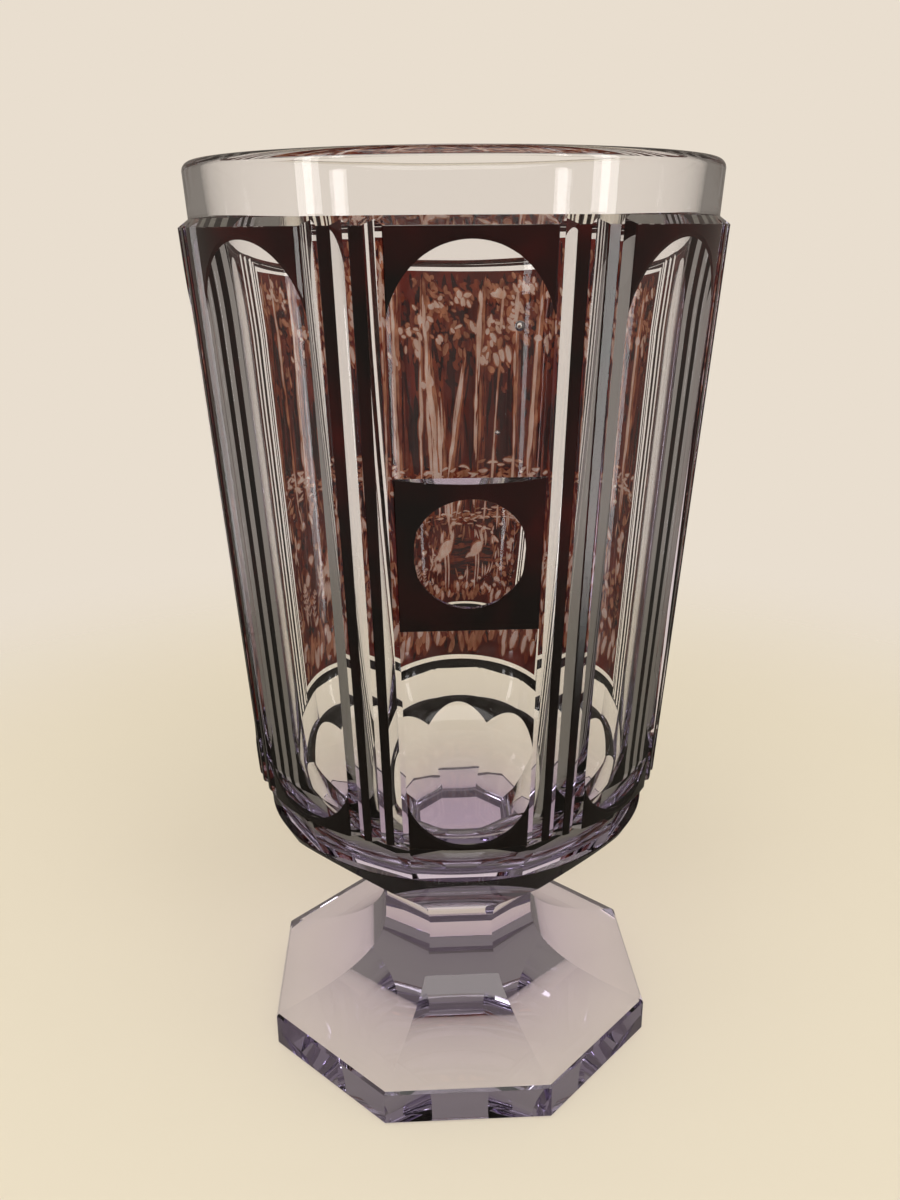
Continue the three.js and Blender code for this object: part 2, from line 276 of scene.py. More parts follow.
def octagon(shrink=0.0):
    """Foot, neck and funnel as one octagonal solid; above the funnel it clears the bowl."""
    ring_z = TURN_Z - RING_LEAST
    ring_corner = ring_r(ring_z) / math.cos(math.pi / SIDES)
    meet_z = NECK_TOP_Z + THROAT_RISE
    rise = (ring_z - meet_z) / (ring_corner - NECK_R)
    reach = 1.3 * RIM_R
    neck_z = PLATE_HEIGHT + FLARE_HEIGHT
    flare = bezier([
        (FOOT_R - FOOT_BEVEL, PLATE_HEIGHT),
        (FOOT_R - FLARE_OUT, PLATE_HEIGHT + FLARE_CLIMB),
        (NECK_R, neck_z - FLARE_DROP),
        (NECK_R, neck_z),
    ], CURVE_STEPS)
    throat = bezier([
        (NECK_R, NECK_TOP_Z),
        (NECK_R, meet_z),
        (NECK_R + THROAT_REACH, meet_z + THROAT_REACH * rise),
    ], THROAT_STEPS)
    profile = [
        (FOOT_R - FOOT_BEVEL, 0),
        (FOOT_R, FOOT_BEVEL),
        (FOOT_R, PLATE_HEIGHT - FOOT_BEVEL),
        *flare,
        *throat,
        (reach, meet_z + (reach - NECK_R) * rise),
        (reach, CLEAR_Z),
    ]
    profile = [(r - shrink, z) for r, z in profile]
    return lathe("octagon", [(0, 0), *profile, (0, CLEAR_Z)], SIDES, 180 / SIDES)


def blank():
    """The round blank before cutting, hollow inside, standing on a disc wider than the foot."""
    lip = RIM_WALL / 2
    roll = []
    for i in range(ARC_STEPS + 1):
        a = math.pi * i / ARC_STEPS
        roll.append((RIM_R - lip + lip * math.cos(a), RIM_Z - lip + lip * math.sin(a)))
    turn_z = FLOOR_Z + INNER_TURN
    turn_r = inner_r(turn_z)
    inside = bezier([
        (turn_r, turn_z),
        (inner_r(FLOOR_Z), turn_z - INNER_TURN * INNER_FULL),
        (FLOOR_R + (turn_r - FLOOR_R) * INNER_FULL, FLOOR_Z),
        (FLOOR_R, FLOOR_Z),
    ], CURVE_STEPS)
    under_z = JOINT_Z - 1
    return lathe("blank", [
        (0, BLANK_LOW_Z),
        (BLANK_DISC_R, BLANK_LOW_Z),
        (BLANK_DISC_R, under_z),
        (ring_r(under_z), under_z),
        (TURN_R, TURN_Z),
        (CASE_LOW_R, PETAL_TOP_Z),
        (CASE_TOP_R, CASE_TOP_Z),
        (SHOULDER_R, SHOULDER_Z),
        *roll,
        (inner_r(CASE_TOP_Z), CASE_TOP_Z),
        *inside,
        (0, FLOOR_Z),
    ], ROUND)


def wheel_end(depth, edge, drop):
    """Length of a window's run-out, whose outline drops so far from its middle to its edge."""
    return drop / (1 - math.sqrt(edge / depth))


def window_tool(grow=0.0):
    """The flat cut of one window, which a wheel runs out of at its head and foot."""
    low = PETAL_TOP_Z + SILL_LEAST
    top = CASE_TOP_Z - HEADER_LEAST

    def face(z):
        return wall_r(z) * math.cos(math.radians(panel_half(z))) - EDGE_DEPTH

    head_deep = wall_r(top) - face(top)
    toe_deep = wall_r(low) - face(low)
    head = wheel_end(head_deep, EDGE_DEPTH, HEAD_DROP)
    toe = wheel_end(toe_deep, EDGE_DEPTH, TOE_DROP)
    head_wheel = head ** 2 / head_deep
    toe_wheel = toe ** 2 / toe_deep
    # The outline goes on past the wall, by this many lengths of the run-out
    past = 1.8
    side = []
    for i in range(WHEEL_STEPS + 1):
        s = toe * past * (1 - i / WHEEL_STEPS)
        z = low + toe - s
        side.append((face(z) + s ** 2 / toe_wheel - grow, z))
    for i in range(WHEEL_STEPS + 1):
        s = head * past * i / WHEEL_STEPS
        z = top - head + s
        side.append((face(z) + s ** 2 / head_wheel - grow, z))
    half = wall_r(CASE_TOP_Z) * math.sin(math.radians(EDGE_FLUTE))
    out = CASE_TOP_R + 12
    outline = [(-half, -r, z) for r, z in side]
    outline += [(-half, -out, side[-1][1]), (-half, -out, side[0][1])]
    tool = drawn_out("window", outline, (2 * half, 0, 0))
    return carved(tool, [wedge(-EDGE_FLUTE, EDGE_FLUTE, 0, CLEAR_Z)], "INTERSECT")


def block_tool(grow=0.0):
    """The block that stays in the front window, with sloping ends."""
    reach = 14
    out = CASE_TOP_R + 14
    inner = 30
    front_r = wall_r(LENS_Z)
    side_deep = front_r * (1 - math.cos(math.radians(panel_half(LENS_Z))))

    def end(z, way):
        at = z - way * (MEDALLION_SLOPE * side_deep + grow)
        slope = way * MEDALLION_SLOPE
        return [
            (-reach, -out, at - slope * (out - front_r)),
            (-reach, -inner, at + slope * (front_r - inner)),
        ]

    top = end(MEDALLION_TOP_Z, 1)
    low = end(MEDALLION_Z, -1)
    return drawn_out("block", [*top, *reversed(low)], (2 * reach, 0, 0))


def flute_tool(grow=0.0):
    """The cut of one V-shaped flute, from the petals up and out over the shoulder."""
    low = ISLAND_LOW_Z
    low_r = wall_r(low)
    length = RIM_Z + 2 - low
    above = 3
    deep = FLUTE_DEPTH + grow
    half = FLUTE_WIDTH / 2 * (deep + above) / FLUTE_DEPTH
    vee = [(0, deep - low_r, low), (half, -above - low_r, low), (-half, -above - low_r, low)]
    return drawn_out("flute", vee, (0, -length * math.tan(TILT), length))


def petal_tool(grow=0.0):
    """The flat cut of one petal, with rounded upper corners and a level foot."""
    lean_cos = math.cos(math.pi / PETAL_COUNT)
    top_r = (CASE_LOW_R - PETAL_DEPTH) * lean_cos - grow
    low_r = (TURN_R - RING_LEDGE) * lean_cos - grow
    half = CASE_LOW_R * math.tan(math.pi / PETAL_COUNT) + 0.6
    height = PETAL_TOP_Z - TURN_Z + grow
    corner = PETAL_CORNER
    out = 12
    flat = [(-half, 0), (half, 0)]
    for middle, quarter in ((half - corner, 0), (corner - half, 1)):
        for i in range(CORNER_STEPS + 1):
            a = math.pi / 2 * (quarter + i / CORNER_STEPS)
            flat.append((middle + corner * math.cos(a), height - corner + corner * math.sin(a)))
    outline = [(x, -(low_r + (top_r - low_r) * t / height), TURN_Z + t) for x, t in flat]
    return drawn_out("petal", outline, (0, -out, 0))


def lens_tool(grow=0.0):
    """The round hollow lens, sunk until its rim meets the round wall at both sides."""
    wall = wall_r(LENS_Z)
    sunk = wall - math.sqrt(wall ** 2 - LENS_R ** 2) + grow
    middle = math.sqrt(LENS_SPHERE_R ** 2 - LENS_R ** 2) - sunk
    spread = math.asin(LENS_R / LENS_SPHERE_R)
    out = 6
    profile = []
    for i in range(ARC_STEPS + 1):
        a = spread * i / ARC_STEPS
        profile.append((LENS_SPHERE_R * math.sin(a), middle - LENS_SPHERE_R * math.cos(a)))
    if grow > 0:
        profile.append((LENS_R + grow, profile[-1][1]))
    profile += [(LENS_R + grow, out), (0, out)]
    tool = lathe("lens", profile, LENS_ROUND)
    place = Matrix.Translation((0, -wall * MM, LENS_Z * MM))
    tool.transform(place @ Matrix.Rotation(math.pi / 2 + TILT, 4, "X"))
    return tool


def all_cuts(grow=0.0):
    """Every cut in the wall, for the clear glass, or a little grown for the ruby skin."""
    tools = []
    window = window_tool(grow)
    for side, azimuth in PANELS.items():
        if side == "front":
            tools.append(carved(window, [block_tool(grow)]))
        else:
            tools.append(turned(window, azimuth))
    flute = flute_tool(grow)
    for azimuth in BUNDLES.values():
        tools += [turned(flute, azimuth + k * FLUTE_STEP) for k in (-1, 0, 1)]
    petal = petal_tool(grow)
    tools += [turned(petal, 360 * i / PETAL_COUNT) for i in range(PETAL_COUNT)]
    tools.append(lens_tool(grow))
    return tools


def bubble_tool(azimuth, radius, z, size):
    """A seed bubble, which is a small ball of air closed in by the glass."""
    half_turn = [math.pi * (i / BUBBLE_STEPS - 0.5) for i in range(BUBBLE_STEPS + 1)]
    profile = [(size * math.cos(a), size * math.sin(a)) for a in half_turn]
    tool = lathe("bubble", [(0, -size), *profile[1:-1], (0, size)], BUBBLE_ROUND)
    tool.transform(Matrix.Translation(Vector(spot(azimuth, radius, z)) * MM))
    return tool


# Looks, all built from nodes. Colours of three whole numbers are as seen on screen, and the
# scale of a noise is in features per metre.
GLASS_IOR = 1.5
WAVE_SCALE = 60
WAVE_STRENGTH = 0.05
WAVE_DEPTH = 0.4
GLASS_SHADOW = (0.94, 0.92, 0.94)
GLASS_TINT = (0.42, 0.22, 0.8)
GLASS_TINT_DENSITY = 7
LAYER_IOR = 1.05
RUBY_ROUGHNESS = 0.25
# The ruby's red patches, redder higher on the wall, are painted glow of light shining through it;
# its near-black is its own colour.
RUBY_GLOW_SCALE = 55
RUBY_GLOW_LOW_SHIFT = -0.3
RUBY_STOPS = [(0.35, (13, 6, 6)), (0.55, (40, 8, 8)), (0.75, (74, 12, 11))]
STAIN_ROUGHNESS = 0.6
STAIN_STRETCH = (1, 1, 0.6)
STAIN_STOPS = (0.3, 0.7)

# Darkest and palest colour, scale of the noise, and share of light that goes through
STAIN_LOOK = ((66, 10, 10), (142, 44, 27), 90, 0.6)
BORDER_LOOK = ((40, 16, 16), (62, 24, 22), 60, 0.3)
STROKE_LOOKS = {
    "light": ((238, 200, 164), (255, 248, 234), 420, 0.6),
    "tan": ((168, 90, 56), (236, 172, 124), 420, 0.6),
    "brown": ((112, 32, 21), (176, 82, 48), 420, 0.55),
    "dark": ((34, 8, 12), (74, 20, 20), 260, 0.4),
}


def new_material(name):
    material = bpy.data.materials.new(name)
    material.use_nodes = True
    tree = material.node_tree
    return material, tree, tree.nodes["Principled BSDF"]


def noise(tree, scale, detail, stretch=(1, 1, 1)):
    """Noise in object space."""
    where = tree.nodes.new("ShaderNodeTexCoord")
    mapping = tree.nodes.new("ShaderNodeMapping")
    mapping.inputs["Scale"].default_value = stretch
    texture = tree.nodes.new("ShaderNodeTexNoise")
    texture.inputs["Scale"].default_value = scale
    texture.inputs["Detail"].default_value = detail
    tree.links.new(where.outputs["Object"], mapping.inputs["Vector"])
    tree.links.new(mapping.outputs["Vector"], texture.inputs["Vector"])
    return texture.outputs["Fac"]


def ramp(tree, value, stops):
    node = tree.nodes.new("ShaderNodeValToRGB")
    elements = node.color_ramp.elements
    while len(elements) < len(stops):
        elements.new(0.5)
    for element, (place, color) in zip(elements, stops):
        element.position = place
        element.color = (*srgb(*color), 1)
    tree.links.new(value, node.inputs["Fac"])
    return node.outputs["Color"]


def bump(tree, value, strength, distance):
    node = tree.nodes.new("ShaderNodeBump")
    node.inputs["Strength"].default_value = strength
    node.inputs["Distance"].default_value = distance
    tree.links.new(value, node.inputs["Height"])
    return node.outputs["Normal"]


def choice(tree, factor, first, second):
    """The first of two shaders where the factor is 0, and the second where it is 1."""
    mix = tree.nodes.new("ShaderNodeMixShader")
    tree.links.new(factor, mix.inputs["Fac"])
    tree.links.new(first, mix.inputs[1])
    tree.links.new(second, mix.inputs[2])
    return mix.outputs["Shader"]


def srgb(r, g, b):
    """A colour as seen on screen, in the linear numbers that a shader takes."""
    def one(c):
        c /= 255
        return c / 12.92 if c <= 0.04045 else ((c + 0.055) / 1.055) ** 2.4
    return (one(r), one(g), one(b))


def clear_glass():
    """Polished glass with a faint wave and a violet body tint, whose shadow lets light by."""
    material, tree, shader = new_material("clear_glass")
    shader.inputs["Base Color"].default_value = (1, 1, 1, 1)
    shader.inputs["Transmission Weight"].default_value = 1
    shader.inputs["IOR"].default_value = GLASS_IOR
    shader.inputs["Roughness"].default_value = 0
    wave = noise(tree, WAVE_SCALE, 2)
    waved = bump(tree, wave, WAVE_STRENGTH, WAVE_DEPTH * MM)
    tree.links.new(waved, shader.inputs["Normal"])
    out = tree.nodes["Material Output"]
    lets = tree.nodes.new("ShaderNodeBsdfTransparent")
    lets.inputs["Color"].default_value = (*GLASS_SHADOW, 1)
    rays = tree.nodes.new("ShaderNodeLightPath")
    surface = choice(tree, rays.outputs["Is Shadow Ray"], shader.outputs["BSDF"],
                     lets.outputs["BSDF"])
    tree.links.new(surface, out.inputs["Surface"])
    haze = tree.nodes.new("ShaderNodeVolumeAbsorption")
    haze.inputs["Color"].default_value = (*GLASS_TINT, 1)
    haze.inputs["Density"].default_value = GLASS_TINT_DENSITY
    tree.links.new(haze.outputs["Volume"], out.inputs["Volume"])
    return material


def ruby_glass():
    """Ruby so deep that it is nearly black low on the wall, with a painted glow of light shining
    through it in red patches higher up.
    """
    material, tree, shader = new_material("ruby_glass")
    # Painted glow of light through the ruby: noise patches, fading lower down the wall, lift its
    # near-black towards red.
    patches = noise(tree, RUBY_GLOW_SCALE, 3)
    where = tree.nodes.new("ShaderNodeTexCoord")
    split = tree.nodes.new("ShaderNodeSeparateXYZ")
    glow_climb = tree.nodes.new("ShaderNodeMapRange")
    glow_climb.inputs["From Min"].default_value = PETAL_TOP_Z * MM
    glow_climb.inputs["From Max"].default_value = MEDALLION_TOP_Z * MM
    glow_climb.inputs["To Min"].default_value = RUBY_GLOW_LOW_SHIFT
    glow_climb.inputs["To Max"].default_value = 0
    total = tree.nodes.new("ShaderNodeMath")
    tree.links.new(where.outputs["Object"], split.inputs["Vector"])
    tree.links.new(split.outputs["Z"], glow_climb.inputs["Value"])
    tree.links.new(patches, total.inputs[0])
    tree.links.new(glow_climb.outputs["Result"], total.inputs[1])
    tint = ramp(tree, total.outputs["Value"], RUBY_STOPS)
    tree.links.new(tint, shader.inputs["Base Color"])
    shader.inputs["Roughness"].default_value = RUBY_ROUGHNESS
    shader.inputs["IOR"].default_value = LAYER_IOR
    return material


def stained(name, low, high, scale, through):
    """A stain or an engraved stroke: dull, and letting some light through."""
    material, tree, shader = new_material(name)
    patches = noise(tree, scale, 4, STAIN_STRETCH)
    tint = ramp(tree, patches, list(zip(STAIN_STOPS, (low, high))))
    tree.links.new(tint, shader.inputs["Base Color"])
    shader.inputs["Roughness"].default_value = STAIN_ROUGHNESS
    shader.inputs["IOR"].default_value = LAYER_IOR
    glow = tree.nodes.new("ShaderNodeBsdfTranslucent")
    tree.links.new(tint, glow.inputs["Color"])
    mix = tree.nodes.new("ShaderNodeMixShader")
    mix.inputs["Fac"].default_value = through
    out = tree.nodes["Material Output"]
    tree.links.new(shader.outputs["BSDF"], mix.inputs[1])
    tree.links.new(glow.outputs["BSDF"], mix.inputs[2])
    tree.links.new(mix.outputs["Shader"], out.inputs["Surface"])
    return material


def shown(name, mesh, material, slot, *nodes):
    """A finished piece of the beaker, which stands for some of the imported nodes."""
    mesh.name = name
    mesh.materials.clear()
    mesh.materials.append(material)
    mesh.shade_smooth()
    mesh.set_sharp_from_angle(angle=math.radians(SHARP_EDGE))
    piece = bpy.data.objects.new(name, mesh)
    bpy.context.scene.collection.objects.link(piece)
    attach(piece, "root")
    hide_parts(*nodes)


def build_clear():
    """Bowl and foot as one piece of glass, since light bends through them as one."""
    body = carved(blank(), [octagon()], "INTERSECT")
    body = carved(body, all_cuts() + [bubble_tool(*b) for b in BUBBLES])
    shown("beaker_glass", body, clear_glass(), "clear_glass", "bowl", "foot")


def skin(radius_at, low, top):
    """A closed skin of ruby under a round surface, before cutting."""
    outside = [(radius_at(z) - SKIN_DEEP, z) for z in (low, top)]
    inside = [(radius_at(z) - SKIN_DEEP - SKIN_THICK, z) for z in (top, low)]
    return lathe("skin", [*outside, *inside], ROUND)


def build_overlay():
    """The islands of ruby that the cutting leaves, each as a piece of its own."""
    ruby = ruby_glass()
    wall = carved(skin(wall_r, ISLAND_LOW_Z, CASE_TOP_Z - SKIN_GROW), all_cuts(SKIN_GROW))
    low = ISLAND_LOW_Z - ISLAND_PAST
    top = CASE_TOP_Z + ISLAND_PAST

    def island(name, start, end, low_z, high_z):
        piece = carved(wall, [wedge(start, end, low_z, high_z)], "INTERSECT")
        shown(f"{name}_skin", piece, ruby, "ruby_glass", name)

    for side, azimuth in PANELS.items():
        ends = (azimuth - EDGE_FLUTE, azimuth + EDGE_FLUTE)
        island(f"header_{side}", *ends, CASE_TOP_Z - HEADER_REACH, top)
        island(f"sill_{side}", *ends, low, PETAL_TOP_Z + SILL_REACH)
    for side, azimuth in BUNDLES.items():
        away = math.copysign(FLUTE_STEP, azimuth)
        near = min(azimuth, azimuth - away)
        far = min(azimuth, azimuth + away)
        island(f"bar_{side}_near", near, near + FLUTE_STEP, low, top)
        island(f"bar_{side}_far", far, far + FLUTE_STEP, low, top)
    island("medallion", -EDGE_FLUTE, EDGE_FLUTE, MEDALLION_Z - MEDALLION_PAST,
           MEDALLION_TOP_Z + MEDALLION_PAST)
    island("back_strip", 180 - STRIP_HALF, 180 + STRIP_HALF, low, STRIP_TOP)
    ring = skin(ring_r, NECK_TOP_Z, TURN_Z - SKIN_GROW)
    ring = carved(ring, [octagon(2 * SKIN_GROW)], "INTERSECT")
    shown("underside_ring_skin", ring, ruby, "ruby_glass", "underside_ring")


# The picture: a stained skin on the back wall, with engraved strokes that show from both sides.
# The strokes of a tone lie between two depths under the surface, the palest both nearest it
# and deepest, so that they show whole from outside and from inside.
PICTURE_R = wall_r((PICTURE_LOW + PICTURE_TOP) / 2)
PICTURE_SIDE = math.radians(PICTURE_HALF) * PICTURE_R
PICTURE_MARGIN = 0.3
TONES = {
    "light": (0.03, 0.29),
    "tan": (0.06, 0.26),
    "brown": (0.09, 0.23),
    "dark": (0.12, 0.2),
}
STAIN_DEPTH = (0.15, 0.17)

# Strokes of one tone differ a little in depth, so that no two of their faces coincide
STROKE_SPREAD = 0.025
SPREAD_STRIDE = 7
SPREAD_CYCLE = 41

STROKE_STEP = 1.8
BROAD_STROKE = 1.2
PATH_OVERLAP = 1.7

# A pale stroke lies on a larger one of the next darker tone
SOFT_EDGE = {"light": "tan", "tan": "brown"}
SOFT_LONGER = 1.1
SOFT_WIDER = 1.5

# The composition. Places are millimetres right of the picture's middle, and heights.
WOOD_Z = (104, 156)
WOOD_STROKES = 330
BOUGHS = 110
BOUGH_Z = (120, 156.5, 152)
BOUGH_TONES = [
    ["dark", "brown", "tan", "light"],
    ["dark", "brown", "tan"],
    ["dark", "dark", "brown"],
    ["brown", "tan", "light"],
    ["dark", "brown"],
]
GLADE_Z = 106
GLADE_STROKES = 360
POND = (2, 86)
WATER_REACH = (21, 9)
WATER_STROKES = 150
REED_REACH = (23, 10)
REEDS = 70
BANK_REACH = (22, 10)
MEADOW_Z = (70, 102)
MEADOW_STROKES = 430
FERN_Z = (73, 82)
FERNS = 12
FERN_OFF = 18
LEAF_Z = (65, 73)
LEAVES = 150

# Trees: place, foot, top, width, lean and share of lit streaks
TREES = [
    (-41, 100, 156, 4.5, 1.5, 0.3),
    (-31, 106, 154, 2.2, -2.2, 0.75),
    (-23, 103, 156, 5.5, 1.6, 0.45),
    (-13.5, 107, 155, 1.6, 1.8, 0.8),
    (-8.6, 107, 156, 3.2, -2, 0.7),
    (9.4, 106, 155, 4.8, 1.4, 0.6),
    (15.6, 107, 150, 1.4, 2.4, 0.85),
    (25, 104, 155, 3, -1.6, 0.6),
    (33, 102, 156, 5.2, 0.9, 0.4),
    (42, 104, 154, 2, 1.8, 0.75),
]
FORKED_TREE = [
    (-6, 106, 131, 5.5, -2.5, 0.9),
    (-1.5, 106, 128, 4.2, 5, 0.85),
    (-4, 106, 118, 7.5, 0, 0.8),
]

strokes = {tone: [] for tone in TONES}
draw = random.Random(7)


def on_picture(u, z):
    """Azimuth and height of a place in the picture, u millimetres right of its middle."""
    return 180 - math.degrees(u / PICTURE_R), z


def inside_picture(u, z):
    """Whether a place is clear of the picture's edges."""
    edge = BORDER_WIDTH + BORDER_GAP + PICTURE_MARGIN
    return abs(u) < PICTURE_SIDE - edge and PICTURE_LOW + PICTURE_MARGIN < z < PICTURE_TOP - edge


def stroke(tone, u, z, length, width, angle, bend=0.0, blunt=0.8):
    """One engraved stroke, pointed or, where blunt is small, round at both ends."""
    a = math.radians(angle)
    least = 4 if blunt > 0.6 else 6
    steps = max(least, math.ceil(length / STROKE_STEP))
    across = (1, -1) if width < BROAD_STROKE else (1, 0, -1)
    rows = []
    for i in range(steps + 1):
        t = i / steps
        x = (t - 0.5) * length
        swell = width / 2 * math.sin(math.pi * t) ** blunt
        arch = bend * length * 4 * t * (1 - t)
        row = []
        for side in across:
            y = side * swell + arch
            px = u + x * math.cos(a) - y * math.sin(a)
            pz = z + x * math.sin(a) + y * math.cos(a)
            if not inside_picture(px, pz):
                return
            row.append((px, pz))
        rows.append(row)
    strokes[tone].append(rows)
    if tone in SOFT_EDGE:
        stroke(SOFT_EDGE[tone], u, z, length * SOFT_LONGER, width * SOFT_WIDER, angle, bend, blunt)


def path(tone, points, width, end_width):
    """A line through some places, as overlapping strokes."""
    for i, ((u0, z0), (u1, z1)) in enumerate(zip(points, points[1:])):
        share = i / max(1, len(points) - 2)
        length = math.hypot(u1 - u0, z1 - z0) * PATH_OVERLAP
        angle = math.degrees(math.atan2(z1 - z0, u1 - u0))
        stroke(tone, (u0 + u1) / 2, (z0 + z1) / 2, length,
               width + (end_width - width) * share, angle)


def dab(tone, u, z, size, angle, spread):
    """A broad soft touch of the wheel."""
    stroke(tone, u, z, size * draw.uniform(0.8, 1.3), size * draw.uniform(0.35, 0.6),
           angle + draw.gauss(0, spread), draw.uniform(-0.12, 0.12), 0.45)


def foliage(u, z, spread, count, tones):
    """A bough in leaf: dark dabs below, and lighter ones heaped on top, hanging a little."""
    for k in range(count):
        share = k / count
        tone = tones[min(len(tones) - 1, int(share * len(tones)))]
        dab(tone, draw.gauss(u, spread), draw.gauss(z + (share - 0.5) * spread, spread * 0.45),
            draw.uniform(1.5, 3.4), -60, 35)


def trunk(u, low, top, width, lean, light):
    """A tree trunk: broad dark and brown strokes, with lit streaks on one side."""
    height = top - low
    tilt = 90 - math.degrees(math.atan2(lean, height))
    for _ in range(int(height * width * 0.42)):
        t = draw.random()
        across = draw.uniform(-0.5, 0.5)
        x = u + lean * t + across * width * (1 - 0.35 * t)
        if across < -0.2:
            tone = "light" if draw.random() < light else "tan"
        elif across < 0.15:
            tone = "tan" if draw.random() < light * 0.7 else "brown"
        else:
            tone = "brown" if draw.random() < 0.5 else "dark"
        stroke(tone, x, low + t * height, draw.uniform(4, 13), draw.uniform(0.4, 1.1), tilt,
               draw.uniform(-0.03, 0.03), 0.6)
    for side in (-1, 1):
        root = u + side * width * 0.55
        stroke("brown", root, low + 0.6, 4.5, 0.9, 90 + side * 55, 0.1 * side, 0.6)


def fern(u, z, height, lean, tone):
    """A fern frond: a curved rib with leaflets on both sides."""
    rib = []
    for i in range(9):
        t = i / 8
        rib.append((u + lean * t ** 1.6, z + height * math.sin(t * 1.9) / math.sin(1.9)))
    path(tone, rib, 0.22, 0.14)
    for i in range(1, 9):
        (u0, z0), (u1, z1) = rib[i - 1], rib[i]
        way = math.degrees(math.atan2(z1 - z0, u1 - u0))
        size = height * 0.3 * (1.1 - i / 9)
        for side in (-1, 1):
            angle = way + side * 55
            stroke(tone, u1 + size / 2 * math.cos(math.radians(angle)),
                   z1 + size / 2 * math.sin(math.radians(angle)), size, 0.35, angle)


def animal_strokes(u, z, size, facing):
    """A way to make strokes by their places in an animal, which faces right (1) or left (-1)."""
    def mark(tone, x, y, length, width, angle, bend=0.0):
        turn = angle if facing > 0 else 180 - angle
        stroke(tone, u + facing * x * size, z + y * size, length * size, width * size, turn,
               bend * facing)
    return mark


def heron(u, z, size, facing):
    """A heron standing in the water, of a few feather strokes."""
    mark = animal_strokes(u, z, size, facing)

    def line(points, width, end_width):
        path("light", [(u + facing * x * size, z + y * size) for x, y in points], width * size,
             end_width * size)

    for k in range(9):
        mark("light", -0.5 + 0.07 * k, 5.1 + 0.2 * k + draw.uniform(-0.08, 0.08), 3.8, 1.2, 22,
             0.05)
    for k in range(4):
        mark("brown", -0.9 + 0.3 * k, 5.2 + 0.3 * k, 2, 0.25, 26)
    mark("light", -2.4, 4.7, 2.2, 0.7, 30)
    line([(0.9, 6.9), (1.5, 7.6), (1.5, 8.5), (1.1, 9.3), (1.2, 10.1), (1.7, 10.5)], 0.8, 0.55)
    mark("light", 1.9, 10.5, 1.3, 0.75, 10)
    mark("light", 3, 10.4, 1.9, 0.3, -6)
    mark("tan", 0.9, 10.9, 1.4, 0.25, 160)
    for x in (-0.3, 0.5):
        line([(x, 5.3), (x + 0.1, 2.6), (x - 0.1, 0)], 0.36, 0.28)


def hare(u, z, size, facing):
    """A sitting hare in the grass."""
    mark = animal_strokes(u, z, size, facing)
    for k in range(10):
        mark("tan" if k % 3 else "light", -0.9 + 0.2 * k, 1.4 + 0.14 * k - 0.02 * k * k, 2.2,
             0.55, 38 + 4 * k)
    for k in range(4):
        mark("tan", -1.1 + 0.1 * k, 0.8 + 0.15 * k, 1.6, 0.5, 10)
    mark("light", 1.4, 3.3, 1.3, 0.8, 25)
    mark("light", 0.9, 4.5, 1.9, 0.35, 105)
    mark("tan", 1.3, 4.5, 1.8, 0.3, 88)
    mark("light", 1.1, 0.6, 1.4, 0.35, 80)


def across_picture(inset=0):
    """A place somewhere between the picture's sides."""
    return draw.uniform(inset - PICTURE_SIDE, PICTURE_SIDE - inset)


def deep_wood():
    """Soft upright masses behind the trees, mostly dark."""
    for _ in range(WOOD_STROKES):
        u = across_picture()
        z = draw.uniform(*WOOD_Z)
        tone = draw.choice(["dark", "dark", "dark", "brown"])
        stroke(tone, u, z, draw.uniform(5, 16), draw.uniform(0.8, 2.2), draw.gauss(90, 7),
               draw.uniform(-0.04, 0.04), 0.5)


def boughs():
    """The leaf overhead, densest near the top."""
    for _ in range(BOUGHS):
        u = across_picture()
        z = draw.triangular(*BOUGH_Z)
        tones = draw.choice(BOUGH_TONES)
        foliage(u, z, draw.uniform(1.6, 3.4), draw.randint(9, 20), tones)


def glade():
    """Light breaking over the ground under the trees."""
    for _ in range(GLADE_STROKES):
        u = across_picture()
        z = draw.gauss(GLADE_Z, 1.7) - 1.6 * math.cos(u / 9)
        tone = draw.choice(["light", "tan", "tan", "brown", "dark"])
        stroke(tone, u, z, draw.uniform(1.6, 5), draw.uniform(0.35, 0.9), draw.gauss(3, 12),
               draw.uniform(-0.1, 0.1), 0.6)


def pond():
    """Dark water, with reeds round it."""
    u0, z0 = POND
    for _ in range(WATER_STROKES):
        a = draw.uniform(0, 2 * math.pi)
        r = math.sqrt(draw.random())
        u = u0 + WATER_REACH[0] * r * math.cos(a)
        z = z0 + WATER_REACH[1] * r * math.sin(a)
        tone = draw.choice(["brown", "dark", "dark", "dark"])
        stroke(tone, u, z, draw.uniform(5, 12), draw.uniform(0.6, 1.5), draw.gauss(0, 3))
    for _ in range(REEDS):
        a = draw.uniform(0, 2 * math.pi)
        u = u0 + REED_REACH[0] * math.cos(a) + draw.uniform(-1.5, 1.5)
        z = z0 + REED_REACH[1] * math.sin(a)
        stroke(draw.choice(["tan", "light", "brown"]), u, z + 1.8, draw.uniform(4, 8),
               draw.uniform(0.6, 1.1), draw.gauss(90, 15), draw.uniform(-0.08, 0.08))


def meadow():
    """Grass in front of the pond and beside it."""
    u0, z0 = POND
    for _ in range(MEADOW_STROKES):
        u = across_picture()
        z = draw.uniform(*MEADOW_Z)
        if ((u - u0) / BANK_REACH[0]) ** 2 + ((z - z0) / BANK_REACH[1]) ** 2 < 1:
            continue
        tone = draw.choice(["light", "tan", "tan", "brown", "brown", "dark", "dark"])
        if draw.random() < 0.5:
            dab(tone, u, z, draw.uniform(2.2, 4.4), 3, 16)
        else:
            stroke(tone, u, z, draw.uniform(2.5, 6), draw.uniform(0.6, 1.2), draw.gauss(88, 22),
                   draw.uniform(-0.1, 0.1))


def ferns():
    """A few ferns at both sides of the pond."""
    for _ in range(FERNS):
        u = across_picture(3)
        z = draw.uniform(*FERN_Z)
        if abs(u - POND[0]) > FERN_OFF:
            fern(u, z, draw.uniform(6, 9), draw.uniform(-4, 4), draw.choice(["light", "tan"]))


